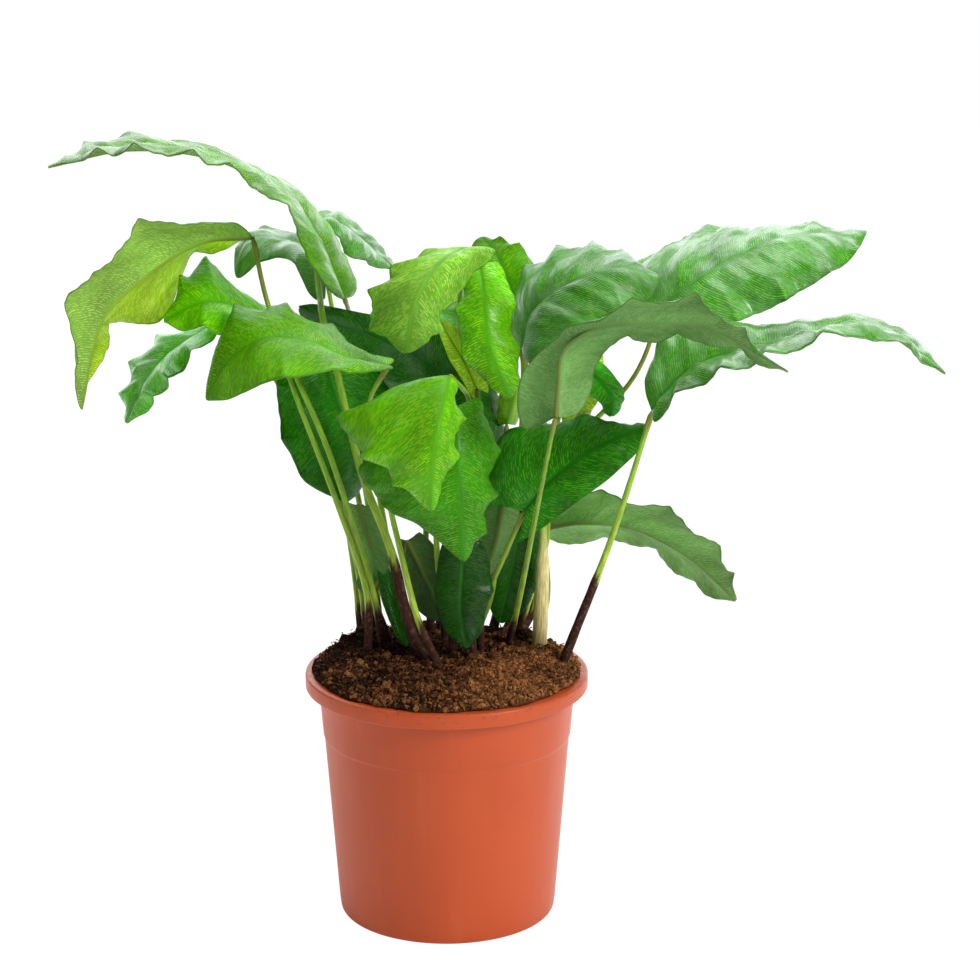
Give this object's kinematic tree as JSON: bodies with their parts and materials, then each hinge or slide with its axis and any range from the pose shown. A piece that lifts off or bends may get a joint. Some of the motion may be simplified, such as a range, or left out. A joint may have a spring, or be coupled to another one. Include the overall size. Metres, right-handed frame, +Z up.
{
  "type": "potted calathea",
  "caption": "Potted calathea: round tapered nursery pot with a broad rim, heaped potting soil and arching wave-edged mosaic leaves on slender stalks.",
  "frame": {"origin": "centre of the pot's flat underside, on the pot's axis", "axes": "+Z up along the pot's axis; +X towards the longer reach of the leaves on the right; -Y towards the front of the plant"},
  "size_m": [0.5159, 0.3187, 0.4779],
  "materials": {
    "pot_plastic": "terracotta-coloured moulded plastic, satin",
    "potting_soil": "loose peat and coir potting soil",
    "leaf_stalk": "living green leaf stalk, brown at the foot",
    "leaf_bright": "living leaf blade with a fine mosaic of light dashes, waxy sheen",
    "leaf_mid": "living leaf blade with a fine mosaic of light dashes, waxy sheen",
    "leaf_olive": "living leaf blade with a fine mosaic of light dashes, waxy sheen",
    "leaf_deep": "living leaf blade with a fine mosaic of light dashes, waxy sheen",
    "leaf_grey": "living leaf blade with a fine mosaic of light dashes, waxy sheen"
  },
  "bodies": {
    "root": {"pot": "pot_plastic", "soil": "potting_soil", "long_left_blade": "leaf_bright", "long_left_stem": "leaf_stalk", "behind_left_top_blade": "leaf_mid", "behind_left_top_stem": "leaf_stalk", "left_rear_fold_blade": "leaf_mid", "left_rear_fold_stem": "leaf_stalk", "left_small_bright_blade": "leaf_bright", "left_small_bright_stem": "leaf_stalk", "left_low_grey_blade": "leaf_mid", "left_low_grey_stem": "leaf_stalk", "left_front_bright_blade": "leaf_bright", "left_front_bright_stem": "leaf_stalk", "left_hanging_dark_blade": "leaf_deep", "left_hanging_dark_stem": "leaf_stalk", "centre_front_bright_blade": "leaf_bright", "centre_front_bright_stem": "leaf_stalk", "centre_dark_below_blade": "leaf_mid", "centre_dark_below_stem": "leaf_stalk", "centre_gloss_blade": "leaf_bright", "centre_gloss_stem": "leaf_stalk", "upper_fold_blade": "leaf_mid", "upper_fold_stem": "leaf_stalk", "centre_shadow_blade": "leaf_deep", "centre_shadow_stem": "leaf_stalk", "low_left_grey_leaf": "leaf_grey", "low_centre_dark_leaf": "leaf_deep", "low_right_grey_leaf": "leaf_grey", "left_drooping_blade": "leaf_olive", "left_drooping_stem": "leaf_stalk", "yellow_backlit_blade": "leaf_olive", "yellow_backlit_stem": "leaf_stalk", "young_backlit_blade": "leaf_olive", "young_backlit_stem": "leaf_stalk", "low_centre_grey_leaf": "leaf_grey", "low_left_narrow_leaf": "leaf_deep", "centre_behind_dark_leaf": "leaf_deep", "young_rolled_leaf": "leaf_olive", "right_long_blade": "leaf_mid", "right_long_stem": "leaf_stalk", "centre_light_blade": "leaf_olive", "centre_light_stem": "leaf_stalk", "top_rear_blade": "leaf_bright", "top_rear_stem": "leaf_stalk", "right_low_dark_blade": "leaf_deep", "right_low_dark_stem": "leaf_stalk", "right_large_blade": "leaf_mid", "right_large_stem": "leaf_stalk", "small_dark_blade": "leaf_deep", "small_dark_stem": "leaf_stalk", "low_right_dark_leaf": "leaf_deep", "right_arching_blade": "leaf_grey", "right_arching_stem": "leaf_stalk", "right_lowest_blade": "leaf_grey", "right_lowest_stem": "leaf_stalk", "rear_centre_leaf": "leaf_mid", "rear_right_leaf": "leaf_mid", "rear_left_leaf": "leaf_deep"}
  },
  "joints": []
}
